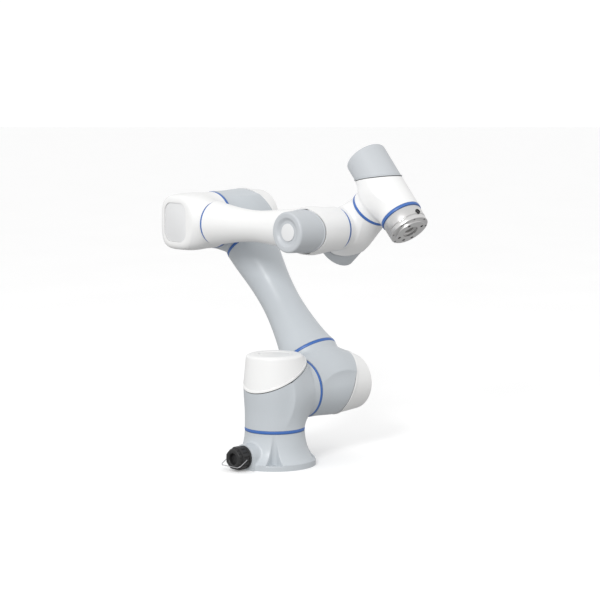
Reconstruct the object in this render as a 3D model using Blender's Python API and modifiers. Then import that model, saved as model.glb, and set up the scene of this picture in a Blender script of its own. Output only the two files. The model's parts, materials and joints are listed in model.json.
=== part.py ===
"""Six-axis collaborative robot arm, 5 kg class, 900 mm reach.

Metres, +Z up. The base stands on Z = 0 with joint 1 along +Z. At rest the upper arm
leans back, the forearm lies level and the tool flange points forward and down.
"""
from math import cos, pi, radians, sin

import bpy
from mathutils import Matrix, Vector

# Link lengths of the arm, from joint axis to joint axis
SHOULDER_HEIGHT = 0.147
UPPER_ARM_LENGTH = 0.427
FOREARM_LENGTH = 0.357
WRIST_1_OFFSET = 0.141
WRIST_2_OFFSET = 0.113
TOOL_OFFSET = 0.105

# Rest pose
UPPER_ARM_LEAN = radians(-38.4)
FOREARM_LEAN = radians(90)
WRIST_2_LEAN = radians(47.5)
TOOL_TURN = radians(92.8)

# Centre planes of the two arm tubes, across the arm
UPPER_ARM_Y = 0.1452
FOREARM_Y = 0.0145
ELBOW_END_Y = -0.0335

# The large joint module (joints 1 to 3) and the small one (joints 4 to 6)
BIG_RADIUS = 0.061
SMALL_RADIUS = 0.0425
BIG_FLARE = 0.0025
BASE_CAP_END = -0.0805
SHOULDER_CAP_END = -0.087
ELBOW_CAP_END = -0.074
WRIST_1_CAP_END = -0.071
WRIST_2_CAP_END = -0.077
WRIST_3_CAP_END = -0.091
BIG_BOARD = -0.058
SMALL_BOARD = -0.055

# Distance of each blue ring's middle from the crossing point of its module
BASE_RING = SHOULDER_HEIGHT - 0.0744
SHOULDER_RING_Y = 0.0756
ELBOW_RING_Y = 0.0734
WRIST_1_RING_Y = 0.0811
WRIST_2_RING = 0.0593
WRIST_3_RING = 0.0653
LOWER_LINK_RING = 0.0739
UPPER_LINK_RING = 0.0704
FOREARM_RING = 0.077
RING_HALF = 0.0034

WALL = 0.005
GAP = 0.0003
STEPS = 32
INNER_STEPS = 16
ROTOR_STEPS = 12
BOARD_HALF = 0.001
SEAL_THICKNESS = 0.0014
PANEL_DEPTH = 0.003
SHOULDER_PANEL_RADIUS = 0.03
WRIST_PANEL_RADIUS = 0.024
PANEL_WIDTH = 0.0674
PANEL_HEIGHT = 0.0814

# Base
FOOT_RADIUS = 0.084
FOOT_HEIGHT = 0.011
RECESS_FLOOR = 0.0093
RECESS_TOP = 0.0643
RECESS_NECK = 0.0612
RECESS_HALF_WIDTH = 0.004
RECESS_SPREAD = 0.7
BOLT_CIRCLE = 0.074
BOLT_HOLE_RADIUS = 0.0045
CONNECTOR_HEIGHT = 0.0255
CONNECTOR_RADIUS = 0.0245
PAD_FACE_Y = -0.0865
BAIL_WIRE_RADIUS = 0.0008
BAIL_REACH = 0.0265
BAIL_DROP = radians(30)

# Tool flange
FLANGE_RADIUS = 0.041
FLANGE_STEP_RADIUS = 0.0315
FLANGE_HOLE_CIRCLE = 0.025
FLANGE_HOLE_RADIUS = 0.003
CENTRING_RADIUS = 0.01575
TOOL_SOCKET_HEIGHT = 0.086
TOOL_SOCKET_RADIUS = 0.005


def clear_scene():
    for obj in list(bpy.data.objects):
        bpy.data.objects.remove(obj, do_unlink=True)


def new_collection(name):
    collection = bpy.data.collections.new(name)
    bpy.context.scene.collection.children.link(collection)
    return collection


def new_material(name, colour, roughness, metallic=0.0):
    material = bpy.data.materials.new(name)
    material.use_nodes = True
    shader = material.node_tree.nodes["Principled BSDF"]
    shader.inputs["Base Color"].default_value = (*colour, 1)
    shader.inputs["Roughness"].default_value = roughness
    shader.inputs["Metallic"].default_value = metallic
    material.diffuse_color = (*colour, 1)
    return material


clear_scene()
PARTS = new_collection("collaborative_robot_arm")
CUTTERS = new_collection("cutters")

SILVER = new_material("silver_paint", (0.56, 0.59, 0.62), 0.35)
WHITE = new_material("white_paint", (0.88, 0.88, 0.88), 0.3)
GREY = new_material("grey_cap_plastic", (0.56, 0.6, 0.62), 0.4)
BLUE = new_material("blue_ring", (0.04, 0.13, 0.5), 0.4)
SEAL = new_material("seal_rubber", (0.05, 0.05, 0.055), 0.7)
BLACK = new_material("black_plastic", (0.02, 0.02, 0.02), 0.5)
METAL = new_material("machined_aluminium", (0.75, 0.74, 0.73), 0.3, 1.0)
STEEL = new_material("gear_steel", (0.55, 0.55, 0.56), 0.35, 1.0)
WINDING = new_material("copper_winding", (0.6, 0.3, 0.15), 0.45, 1.0)
BOARD = new_material("circuit_board", (0.02, 0.18, 0.08), 0.5)


def frame_at(origin, z_axis, x_hint):
    """A world matrix with its Z along z_axis and its X as near x_hint as it can be."""
    z_axis = Vector(z_axis).normalized()
    x_axis = Vector(x_hint)
    x_axis = (x_axis - z_axis * x_axis.dot(z_axis)).normalized()
    y_axis = z_axis.cross(x_axis)
    turn = Matrix((x_axis, y_axis, z_axis)).transposed()
    return Matrix.Translation(origin) @ turn.to_4x4()


def lean(angle):
    """The direction in the arm's plane that leans from +Z towards +X by an angle."""
    return Vector((sin(angle), 0, cos(angle)))


# Joint points and directions at rest
Y_AXIS = Vector((0, 1, 0))
Z_AXIS = Vector((0, 0, 1))
UPPER_ARM_DIRECTION = lean(UPPER_ARM_LEAN)
FOREARM_DIRECTION = lean(FOREARM_LEAN)
WRIST_2_DIRECTION = lean(WRIST_2_LEAN)
SIDE_DIRECTION = Y_AXIS.cross(WRIST_2_DIRECTION)
TOOL_DIRECTION = Y_AXIS * cos(TOOL_TURN) + SIDE_DIRECTION * sin(TOOL_TURN)
SHOULDER_POINT = Vector((0, 0, SHOULDER_HEIGHT))
ELBOW_POINT = SHOULDER_POINT + UPPER_ARM_DIRECTION * UPPER_ARM_LENGTH
WRIST_1_POINT = ELBOW_POINT + FOREARM_DIRECTION * FOREARM_LENGTH
WRIST_2_POINT = WRIST_1_POINT + Y_AXIS * WRIST_1_OFFSET
WRIST_3_POINT = WRIST_2_POINT + WRIST_2_DIRECTION * WRIST_2_OFFSET

# One frame for each joint module: Z along its axis towards the ring, origin where the
# module's axis meets the centre line of its link
BASE_FRAME = frame_at(SHOULDER_POINT, -Z_AXIS, Y_AXIS)
SHOULDER_FRAME = frame_at(SHOULDER_POINT + Y_AXIS * UPPER_ARM_Y, -Y_AXIS, UPPER_ARM_DIRECTION)
ELBOW_FRAME = frame_at(ELBOW_POINT + Y_AXIS * UPPER_ARM_Y, -Y_AXIS, -UPPER_ARM_DIRECTION)
FRONT_ELBOW_FRAME = frame_at(ELBOW_POINT + Y_AXIS * FOREARM_Y, Y_AXIS, FOREARM_DIRECTION)
WRIST_1_FRAME = frame_at(WRIST_1_POINT + Y_AXIS * FOREARM_Y, Y_AXIS, -FOREARM_DIRECTION)
WRIST_2_FRAME = frame_at(WRIST_2_POINT, WRIST_2_DIRECTION, -Y_AXIS)
WRIST_3_FRAME = frame_at(WRIST_3_POINT, TOOL_DIRECTION, -WRIST_2_DIRECTION)
UPPER_TUBE_FRAME = frame_at(SHOULDER_POINT + Y_AXIS * UPPER_ARM_Y, UPPER_ARM_DIRECTION, Y_AXIS)
FOREARM_FRAME = frame_at(ELBOW_POINT + Y_AXIS * FOREARM_Y, FOREARM_DIRECTION, Y_AXIS)


def new_pivot(name, frame, parent=None):
    """An empty on a joint's axis, under the empty of the link before it."""
    pivot = bpy.data.objects.new(name, None)
    pivot.empty_display_size = 0.05
    PARTS.objects.link(pivot)
    pivot["world"] = [value for row in frame for value in row]
    attach(pivot, frame, parent)
    return pivot


def stored_frame(pivot):
    values = list(pivot["world"])
    return Matrix([values[row * 4:row * 4 + 4] for row in range(4)])


def attach(obj, frame, pivot):
    """Put an object at a world frame, as a child of a pivot."""
    if pivot is None:
        obj.matrix_basis = frame
    else:
        obj.parent = pivot
        obj.matrix_basis = stored_frame(pivot).inverted() @ frame


BASE = new_pivot("base_pivot", Matrix.Identity(4))
SHOULDER = new_pivot("shoulder_pivot", frame_at((0, 0, 0), Z_AXIS, (1, 0, 0)), BASE)
UPPER_ARM = new_pivot("upper_arm_pivot", frame_at(SHOULDER_POINT, Y_AXIS, Z_AXIS), SHOULDER)
FOREARM = new_pivot("forearm_pivot", frame_at(ELBOW_POINT, Y_AXIS, Z_AXIS), UPPER_ARM)
WRIST_1 = new_pivot("wrist_1_pivot", frame_at(WRIST_1_POINT, Y_AXIS, Z_AXIS), FOREARM)
WRIST_2 = new_pivot("wrist_2_pivot", WRIST_2_FRAME, WRIST_1)
TOOL = new_pivot("tool_pivot", WRIST_3_FRAME, WRIST_2)


def finish(obj, name, frame, pivot, material):
    """Name a new object, give it its material and hang it under its pivot."""
    obj.name = name
    obj.data.name = name
    obj.data.materials.clear()
    obj.data.materials.append(material)
    for collection in list(obj.users_collection):
        collection.objects.unlink(obj)
    PARTS.objects.link(obj)
    attach(obj, frame, pivot)
    return obj


def make_cutter(obj, frame):
    for collection in list(obj.users_collection):
        collection.objects.unlink(obj)
    CUTTERS.objects.link(obj)
    obj.display_type = "WIRE"
    obj.hide_render = True
    obj.matrix_basis = frame
    return obj


def cylinder(radius, low, high, vertices=STEPS):
    bpy.ops.mesh.primitive_cylinder_add(vertices=vertices, radius=radius, depth=high - low)
    obj = bpy.context.object
    obj.data.transform(Matrix.Translation((0, 0, (low + high) / 2)))
    return obj


def turned(profile, steps=STEPS):
    """A ring or a solid turned about local Z from a closed outline of (radius, height)."""
    mesh = bpy.data.meshes.new("turned")
    count = len(profile)
    area = sum(
        profile[index - 1][0] * profile[index][1] - profile[index][0] * profile[index - 1][1]
        for index in range(count))
    if area > 0:
        profile = profile[::-1]
    edges = [(index, (index + 1) % count) for index in range(count)]
    mesh.from_pydata([(radius, 0, height) for radius, height in profile], edges, [])
    obj = bpy.data.objects.new("turned", mesh)
    bpy.context.scene.collection.objects.link(obj)
    screw = obj.modifiers.new("screw", "SCREW")
    screw.steps = steps
    screw.render_steps = steps
    screw.use_merge_vertices = True
    screw.merge_threshold = 0.00001
    return obj


def rotated_x(frame):
    """The same point, with local Z turned onto local X."""
    return frame @ Matrix.Rotation(pi / 2, 4, "Y")


def boolean(obj, other, operation):
    modifier = obj.modifiers.new(operation.lower(), "BOOLEAN")
    modifier.operation = operation
    modifier.solver = "EXACT"
    modifier.object = other


def half_space(frame, offset, slope, direction, side, shift=0.0):
    """A block that fills one side of a sloping plane across a module's axis."""
    size = 0.4
    normal = Vector((slope * cos(direction), slope * sin(direction), 1)).normalized()
    bpy.ops.mesh.primitive_cube_add(size=size)
    centre = Vector((0, 0, offset)) + normal * (side * (size / 2 + shift))
    return make_cutter(bpy.context.object, frame @ frame_at(centre, normal, (1, 0, 0)))


class CapPlane:
    """The sloping joint between a housing and its rear cap."""

    def __init__(self, frame, offset, slope, direction=0.0):
        self.frame = frame
        self.offset = offset
        self.slope = slope
        self.direction = direction

    def block(self, side, shift=0.0):
        return half_space(self.frame, self.offset, self.slope, self.direction, side, shift)


def housing(name, frame, pivot, material, radius, ring, plane, branch, notched_cap=False):
    """A hollow joint housing, open at its ring and at its cap, with a branch to its link.

    The sloping cut for the cap comes last, unless the cap is notched around the branch.
    """
    outside, bore, branch_frame = branch
    inner = cylinder(radius - WALL, plane.offset - 2 * radius, ring)
    cut = plane.block(-1, -SEAL_THICKNESS / 2 - GAP)
    end = ring - RING_HALF - GAP
    low = plane.offset - radius
    wide = radius + (BIG_FLARE if radius == BIG_RADIUS else 0.0)
    obj = turned([(0.0, low), (wide, low), (wide, -0.01), (radius, 0.045), (radius, end), (0.0, end)])
    finish(obj, name, frame, pivot, material)
    if notched_cap:
        boolean(obj, cut, "DIFFERENCE")
    boolean(obj, make_cutter(outside, branch_frame), "UNION")
    boolean(obj, make_cutter(inner, frame), "DIFFERENCE")
    boolean(obj, make_cutter(bore, branch_frame), "DIFFERENCE")
    if not notched_cap:
        boolean(obj, cut, "DIFFERENCE")
    return obj


def round_branch(frame, radius, length):
    """A short round stub along local X, as its outside, its bore and its frame."""
    outside = cylinder(radius, 0, length)
    bore = cylinder(radius - WALL, 0, length + 0.01)
    return outside, bore, rotated_x(frame)


def rear_cap(name, frame, pivot, material, radius, end, plane, panel=0.0):
    """A domed cap with a lip, hollow inside, cut to the housing's sloping end."""
    lip = radius * 1.055
    top = plane.offset + radius
    inner = radius - WALL
    face = [(radius * 0.78, end)]
    if panel:
        face = [(0.0, end + PANEL_DEPTH), (panel + GAP, end + PANEL_DEPTH), (panel + GAP, end)] + face
    else:
        face = [(0.0, end)] + face
    outline = face + [
        (radius * 0.92, end + radius * 0.06), (radius * 0.97, end + radius * 0.14),
        (lip, end + radius * 0.45),
        (lip, top), (inner, top), (inner, end + radius * 0.3), (inner * 0.85, end + radius * 0.13),
        (0.0, end + radius * 0.13),
    ]
    obj = finish(turned(outline), name, frame, pivot, material)
    boolean(obj, plane.block(1, -SEAL_THICKNESS / 2 - GAP), "DIFFERENCE")
    return obj


def cap_panel(name, frame, pivot, material, radius, end):
    """The round plate set into the outer face of a cap."""
    low = end + 0.0008
    high = end + PANEL_DEPTH - GAP
    outline = [(0.0, low), (radius - 0.0008, low), (radius, low + 0.0008), (radius, high), (0.0, high)]
    return finish(turned(outline), name, frame, pivot, material)


def cap_seal(name, frame, pivot, radius, plane):
    """The thin dark ring clamped between a housing and its cap."""
    low = plane.offset - radius
    high = plane.offset + radius
    inner = radius - WALL + 0.0003
    outline = [(inner, low), (radius - 0.0005, low), (radius - 0.0005, high), (inner, high)]
    obj = finish(turned(outline), name, frame, pivot, SEAL)
    boolean(obj, plane.block(1, SEAL_THICKNESS / 2), "DIFFERENCE")
    boolean(obj, plane.block(-1, SEAL_THICKNESS / 2), "DIFFERENCE")
    return obj


def joint_ring(name, frame, pivot, radius, middle):
    """A blue band that covers the running gap of a joint or the seam of a tube."""
    half = RING_HALF - GAP
    outer = radius + 0.0004
    inner = radius - WALL
    outline = [
        (inner, middle - half), (outer, middle - half), (outer, middle + half), (inner, middle + half),
    ]
    return finish(turned(outline), name, frame, pivot, BLUE)


def drive(prefix, frame, pivot, housing_radius, ring, board):
    """What a joint module holds: gear unit, motor stator, hollow rotor and drive board."""
    inner = housing_radius - WALL - 0.001
    scale = housing_radius / BIG_RADIUS
    gear_high = ring - RING_HALF - 0.001
    gear_low = gear_high - 0.03 * scale
    bore = 0.013 * scale
    gear = [
        (bore, gear_low), (inner * 0.8, gear_low), (inner * 0.8, gear_low + 0.008 * scale),
        (inner, gear_low + 0.008 * scale), (inner, gear_high), (bore, gear_high),
    ]
    finish(turned(gear, INNER_STEPS), prefix + "_gear_unit", frame, pivot, STEEL)
    low = gear_low - 0.034 * scale
    high = gear_low - 0.006 * scale
    magnet = 0.03 * scale
    stator = [(magnet + 0.001, low), (inner, low), (inner, high), (magnet + 0.001, high)]
    finish(turned(stator, INNER_STEPS), prefix + "_motor_stator", frame, pivot, WINDING)
    disc = [
        (bore, board - BOARD_HALF), (inner - 0.002, board - BOARD_HALF),
        (inner - 0.002, board + BOARD_HALF), (bore, board + BOARD_HALF),
    ]
    finish(turned(disc, INNER_STEPS), prefix + "_drive_board", frame, pivot, BOARD)
    shaft = bore - 0.0015
    shaft_low = board - 0.004
    shaft_high = gear_high - 0.002
    rotor = [
        (shaft * 0.6, shaft_low), (shaft, shaft_low), (shaft, low + 0.003), (magnet, low + 0.003),
        (magnet, high - 0.003), (shaft, high - 0.003), (shaft, shaft_high), (shaft * 0.6, shaft_high),
    ]
    rotor_pivot = new_pivot(prefix + "_rotor_pivot", frame, pivot)
    finish(turned(rotor, ROTOR_STEPS), prefix + "_motor_rotor", frame, rotor_pivot, STEEL)


# Sloping cap joints: offset along the module axis, slope, and the way it slopes
BASE_PLANE = CapPlane(BASE_FRAME, -0.0365, 0.49)
SHOULDER_PLANE = CapPlane(SHOULDER_FRAME, -0.042, 0.48)
ELBOW_PLANE = CapPlane(ELBOW_FRAME, -0.036, 0.42)
WRIST_1_PLANE = CapPlane(WRIST_1_FRAME, -0.0216, 0.42, 0.17)
WRIST_2_PLANE = CapPlane(WRIST_2_FRAME, -0.03, 0.72)
WRIST_3_PLANE = CapPlane(WRIST_3_FRAME, -0.0323, 0.65)


def wedge():
    """The space over one bolt: narrow at the neck and wider towards the rim of the foot."""
    reach = 0.1
    half = RECESS_HALF_WIDTH + (reach - RECESS_NECK) * RECESS_SPREAD
    plan = [
        (RECESS_NECK, -RECESS_HALF_WIDTH), (reach, -half), (reach, half), (RECESS_NECK, RECESS_HALF_WIDTH),
    ]
    points = [(*point, height) for height in (RECESS_FLOOR, RECESS_TOP) for point in plan]
    sides = [(index, (index + 1) % 4, (index + 1) % 4 + 4, index + 4) for index in range(4)]
    mesh = bpy.data.meshes.new("wedge")
    mesh.from_pydata(points, [], [(3, 2, 1, 0), (4, 5, 6, 7)] + sides)
    obj = bpy.data.objects.new("wedge", mesh)
    bpy.context.scene.collection.objects.link(obj)
    return obj


def build_base():
    top = SHOULDER_HEIGHT - BASE_RING - RING_HALF - GAP
    skirt = [
        (0.0, 0.0), (FOOT_RADIUS, 0.0), (FOOT_RADIUS, FOOT_HEIGHT), (0.082, 0.013), (0.0755, 0.0175),
        (0.0705, 0.026), (0.0665, 0.037), (0.0635, 0.05), (0.0615, 0.062), (BIG_RADIUS, top),
        (BIG_RADIUS - WALL, top), (BIG_RADIUS - WALL, 0.009), (0.0, 0.009),
    ]
    base = finish(turned(skirt, 48), "base_housing", Matrix.Identity(4), BASE, SILVER)
    # Flat pad for the cable connector, rounded at the top
    pad_frame = frame_at((0, 0, CONNECTOR_HEIGHT), -Y_AXIS, Z_AXIS)
    pad = cylinder(CONNECTOR_RADIUS + 0.0015, BIG_RADIUS - WALL / 2, -PAD_FACE_Y)
    bpy.ops.mesh.primitive_cube_add(size=1)
    block = bpy.context.object
    block.data.transform(Matrix.Diagonal((0.045, 0.026, 0.02, 1)))
    boolean(base, make_cutter(pad, pad_frame), "UNION")
    boolean(base, make_cutter(block, Matrix.Translation((0, PAD_FACE_Y + 0.014, 0.0101))), "UNION")
    for quarter in range(4):
        angle = pi / 4 + quarter * pi / 2
        spot = Vector((cos(angle), sin(angle), 0))
        turn = Matrix.Rotation(angle, 4, "Z")
        boolean(base, make_cutter(wedge(), turn), "DIFFERENCE")
        hole = cylinder(BOLT_HOLE_RADIUS, -0.01, 0.03, 16)
        boolean(base, make_cutter(hole, Matrix.Translation(spot * BOLT_CIRCLE)), "DIFFERENCE")
    joint_ring("base_joint_ring", BASE_FRAME, BASE, BIG_RADIUS, BASE_RING)


def build_connector():
    """The round cable connector on the side of the base."""
    face = -PAD_FACE_Y + GAP
    frame = frame_at((0, 0, CONNECTOR_HEIGHT), -Y_AXIS, Z_AXIS)
    socket = [
        (0.0, face), (CONNECTOR_RADIUS - 0.001, face),
        (CONNECTOR_RADIUS - 0.001, face + 0.005), (0.0, face + 0.005),
    ]
    finish(turned(socket), "cable_socket", frame, BASE, BLACK)
    low = face + 0.005 + GAP
    body = cylinder(CONNECTOR_RADIUS, low, low + 0.0165, 8)
    plug = finish(body, "cable_connector", frame, BASE, BLACK)
    grip = cylinder(CONNECTOR_RADIUS * 0.86, low + 0.0155, low + 0.0255, 16)
    boolean(plug, make_cutter(grip, frame), "UNION")
    bore = cylinder(CONNECTOR_RADIUS * 0.42, low + 0.0165, low + 0.03, 16)
    boolean(plug, make_cutter(bore, frame), "DIFFERENCE")
    pivot_y = -low - 0.0105
    bail_pivot = new_pivot("bail_pivot", Matrix.Translation((0, pivot_y, CONNECTOR_HEIGHT)), BASE)
    wire = bpy.data.curves.new("bail", "CURVE")
    wire.dimensions = "3D"
    wire.bevel_depth = BAIL_WIRE_RADIUS
    wire.bevel_resolution = 1
    wire.use_fill_caps = True
    side = CONNECTOR_RADIUS + 0.002
    reach = Vector((0, -cos(BAIL_DROP), -sin(BAIL_DROP))) * BAIL_REACH
    points = [Vector((-side + 0.001, 0, 0)), Vector((-side, 0, 0)) + reach * 0.1]
    points += [Vector((-side, 0, 0)) + reach * 0.9, Vector((-side + 0.003, 0, 0)) + reach]
    points += [Vector((-point.x, point.y, point.z)) for point in reversed(points)]
    spline = wire.splines.new("POLY")
    spline.points.add(len(points) - 1)
    for target, point in zip(spline.points, points):
        target.co = (*point, 1)
    bail = bpy.data.objects.new("bail", wire)
    bpy.context.scene.collection.objects.link(bail)
    spot = Matrix.Translation((0, pivot_y, CONNECTOR_HEIGHT))
    finish(bail, "connector_bail", spot, bail_pivot, STEEL)


def build_shoulder():
    stub = SHOULDER_RING_Y - RING_HALF - GAP
    branch = round_branch(BASE_FRAME, BIG_RADIUS - 0.001, stub)
    housing("shoulder_housing", BASE_FRAME, SHOULDER, SILVER, BIG_RADIUS, BASE_RING, BASE_PLANE, branch)
    rear_cap(
        "shoulder_cap", BASE_FRAME, SHOULDER, WHITE, BIG_RADIUS, BASE_CAP_END, BASE_PLANE,
        SHOULDER_PANEL_RADIUS)
    cap_panel("shoulder_cap_panel", BASE_FRAME, SHOULDER, WHITE, SHOULDER_PANEL_RADIUS, BASE_CAP_END)
    cap_seal("shoulder_cap_seal", BASE_FRAME, SHOULDER, BIG_RADIUS, BASE_PLANE)
    ring = SHOULDER_RING_Y
    joint_ring("shoulder_joint_ring", rotated_x(BASE_FRAME), SHOULDER, BIG_RADIUS - 0.001, ring)
    drive("base", BASE_FRAME, SHOULDER, BIG_RADIUS, BASE_RING, BIG_BOARD)


def tube_shell(profile):
    """Outside and inside outlines of a tapering tube, as one closed outline."""
    inside = [(radius - WALL, height) for radius, height in reversed(profile)]
    return profile + inside


def build_upper_arm():
    low = LOWER_LINK_RING
    high = UPPER_ARM_LENGTH - UPPER_LINK_RING
    end = RING_HALF + GAP
    lower = round_branch(SHOULDER_FRAME, 0.0615, low - end)
    upper = round_branch(ELBOW_FRAME, 0.0545, UPPER_LINK_RING - end)
    shoulder_ring = UPPER_ARM_Y - SHOULDER_RING_Y
    elbow_ring = UPPER_ARM_Y - ELBOW_RING_Y
    housing(
        "upper_arm_lower_housing", SHOULDER_FRAME, UPPER_ARM, SILVER, BIG_RADIUS, shoulder_ring,
        SHOULDER_PLANE, lower)
    rear_cap(
        "upper_arm_lower_cap", SHOULDER_FRAME, UPPER_ARM, WHITE, BIG_RADIUS, SHOULDER_CAP_END,
        SHOULDER_PLANE)
    cap_seal("upper_arm_lower_cap_seal", SHOULDER_FRAME, UPPER_ARM, BIG_RADIUS, SHOULDER_PLANE)
    drive("shoulder", SHOULDER_FRAME, UPPER_ARM, BIG_RADIUS, shoulder_ring, BIG_BOARD)
    housing(
        "upper_arm_upper_housing", ELBOW_FRAME, UPPER_ARM, SILVER, BIG_RADIUS, elbow_ring,
        ELBOW_PLANE, upper)
    rear_cap(
        "upper_arm_upper_cap", ELBOW_FRAME, UPPER_ARM, WHITE, BIG_RADIUS, ELBOW_CAP_END, ELBOW_PLANE)
    cap_seal("upper_arm_upper_cap_seal", ELBOW_FRAME, UPPER_ARM, BIG_RADIUS, ELBOW_PLANE)
    drive("elbow", ELBOW_FRAME, UPPER_ARM, BIG_RADIUS, elbow_ring, BIG_BOARD)
    joint_ring("lower_tube_ring", UPPER_TUBE_FRAME, UPPER_ARM, 0.0615, low)
    joint_ring("upper_tube_ring", UPPER_TUBE_FRAME, UPPER_ARM, 0.0545, high)
    profile = [
        (0.0615, low + end), (0.054, 0.1), (0.0485, 0.125), (0.0445, 0.155), (0.0405, 0.195),
        (0.041, 0.235), (0.0445, 0.275), (0.0495, 0.31), (0.0545, high - end),
    ]
    finish(turned(tube_shell(profile)), "upper_arm_tube", UPPER_TUBE_FRAME, UPPER_ARM, SILVER)


def rounded_plate(width, height, thickness, corner):
    """A flat plate about local Z with rounded corners."""
    bpy.ops.mesh.primitive_cube_add(size=1)
    obj = bpy.context.object
    obj.data.transform(Matrix.Diagonal((width, height, thickness, 1)))
    for edge in obj.data.edges:
        ends = [obj.data.vertices[index].co for index in edge.vertices]
        upright = abs(ends[0].z - ends[1].z) > thickness / 2
        edge_weight(obj, edge.index, 1.0 if upright else 0.0)
    bevel = obj.modifiers.new("corners", "BEVEL")
    bevel.limit_method = "WEIGHT"
    bevel.width = corner
    bevel.segments = 5
    return obj


def edge_weight(obj, index, weight):
    name = "bevel_weight_edge"
    layer = obj.data.attributes.get(name) or obj.data.attributes.new(name, "FLOAT", "EDGE")
    layer.data[index].value = weight


def build_elbow():
    """The white elbow housing: round at the joint, with a square panel at its outer end."""
    end = RING_HALF + GAP
    ring = ELBOW_RING_Y - FOREARM_Y
    back = ELBOW_END_Y - FOREARM_Y
    outline = [
        (0.0, back), (0.05, back), (0.056, back + 0.006), (0.06, back + 0.024), (0.06, ring - end),
        (0.055, ring - end), (0.055, back + 0.026), (0.051, back + 0.01), (0.0, back + 0.01),
    ]
    elbow = finish(turned(outline), "elbow_housing", FRONT_ELBOW_FRAME, FOREARM, WHITE)
    stub = rotated_x(FRONT_ELBOW_FRAME)
    pocket = rounded_plate(PANEL_WIDTH + 2 * GAP, PANEL_HEIGHT + 2 * GAP, 0.009, 0.02)
    face = FRONT_ELBOW_FRAME @ Matrix.Translation((0, 0, back))
    boolean(elbow, make_cutter(cylinder(0.0439, 0, FOREARM_RING - end), stub), "UNION")
    boolean(elbow, make_cutter(cylinder(0.0552, back + 0.0255, ring), FRONT_ELBOW_FRAME), "DIFFERENCE")
    boolean(elbow, make_cutter(cylinder(0.0507, back + 0.0102, ring - 0.01), FRONT_ELBOW_FRAME), "DIFFERENCE")
    boolean(elbow, make_cutter(cylinder(0.037, 0, FOREARM_RING), stub), "DIFFERENCE")
    boolean(elbow, make_cutter(pocket, face), "DIFFERENCE")
    panel = rounded_plate(PANEL_WIDTH, PANEL_HEIGHT, 0.0034, 0.0197)
    seat = face @ Matrix.Translation((0, 0, 0.0045 - 0.0017 - GAP))
    finish(panel, "elbow_end_panel", seat, FOREARM, GREY)
    joint_ring("elbow_joint_ring", FRONT_ELBOW_FRAME, FOREARM, BIG_RADIUS - 0.001, ring)
    joint_ring("forearm_tube_ring", FOREARM_FRAME, FOREARM, 0.0439, FOREARM_RING)


def build_forearm():
    low = FOREARM_RING + RING_HALF + GAP
    profile = [
        (0.0439, low), (0.0385, 0.105), (0.034, 0.14), (0.0302, 0.18), (0.03, 0.205),
        (0.0325, 0.235), (0.0355, 0.262), (0.039, 0.295), (0.0412, 0.325), (0.0412, FOREARM_LENGTH),
    ]
    inside = [(radius - WALL, height) for radius, height in profile]
    outer = turned([(0.0, low)] + profile + [(0.0, FOREARM_LENGTH)])
    bore = turned([(0.0, 0.07), (inside[0][0], 0.07)] + inside + [(0.0, FOREARM_LENGTH)])
    wrist_ring = WRIST_1_RING_Y - FOREARM_Y
    housing(
        "forearm_housing", WRIST_1_FRAME, FOREARM, WHITE, SMALL_RADIUS, wrist_ring, WRIST_1_PLANE,
        (outer, bore, FOREARM_FRAME), notched_cap=True)
    cap = rear_cap(
        "wrist_1_cap", WRIST_1_FRAME, FOREARM, GREY, SMALL_RADIUS, WRIST_1_CAP_END, WRIST_1_PLANE,
        WRIST_PANEL_RADIUS)
    notch = cylinder(0.0412 + GAP * 2, 0.26, FOREARM_LENGTH)
    boolean(cap, make_cutter(notch, FOREARM_FRAME), "DIFFERENCE")
    cap_panel("wrist_1_cap_panel", WRIST_1_FRAME, FOREARM, GREY, WRIST_PANEL_RADIUS, WRIST_1_CAP_END)
    drive("wrist_1", WRIST_1_FRAME, FOREARM, SMALL_RADIUS, wrist_ring, SMALL_BOARD)
    joint_ring("wrist_1_joint_ring", WRIST_1_FRAME, FOREARM, SMALL_RADIUS, wrist_ring)


def build_wrists():
    end = RING_HALF + GAP
    stub = WRIST_1_OFFSET - WRIST_1_RING_Y - end
    branch = round_branch(WRIST_2_FRAME, SMALL_RADIUS, stub)
    housing(
        "wrist_1_housing", WRIST_2_FRAME, WRIST_1, WHITE, SMALL_RADIUS, WRIST_2_RING, WRIST_2_PLANE,
        branch)
    rear_cap("wrist_2_cap", WRIST_2_FRAME, WRIST_1, GREY, SMALL_RADIUS, WRIST_2_CAP_END, WRIST_2_PLANE)
    drive("wrist_2", WRIST_2_FRAME, WRIST_1, SMALL_RADIUS, WRIST_2_RING, SMALL_BOARD)
    joint_ring("wrist_2_joint_ring", WRIST_2_FRAME, WRIST_1, SMALL_RADIUS, WRIST_2_RING)
    branch = round_branch(WRIST_3_FRAME, SMALL_RADIUS, WRIST_2_OFFSET - WRIST_2_RING - end)
    housing(
        "wrist_2_housing", WRIST_3_FRAME, WRIST_2, WHITE, SMALL_RADIUS, WRIST_3_RING, WRIST_3_PLANE,
        branch)
    rear_cap("wrist_3_cap", WRIST_3_FRAME, WRIST_2, GREY, SMALL_RADIUS, WRIST_3_CAP_END, WRIST_3_PLANE)
    drive("wrist_3", WRIST_3_FRAME, WRIST_2, SMALL_RADIUS, WRIST_3_RING, SMALL_BOARD)
    joint_ring("wrist_3_joint_ring", WRIST_3_FRAME, WRIST_2, SMALL_RADIUS, WRIST_3_RING)


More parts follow.
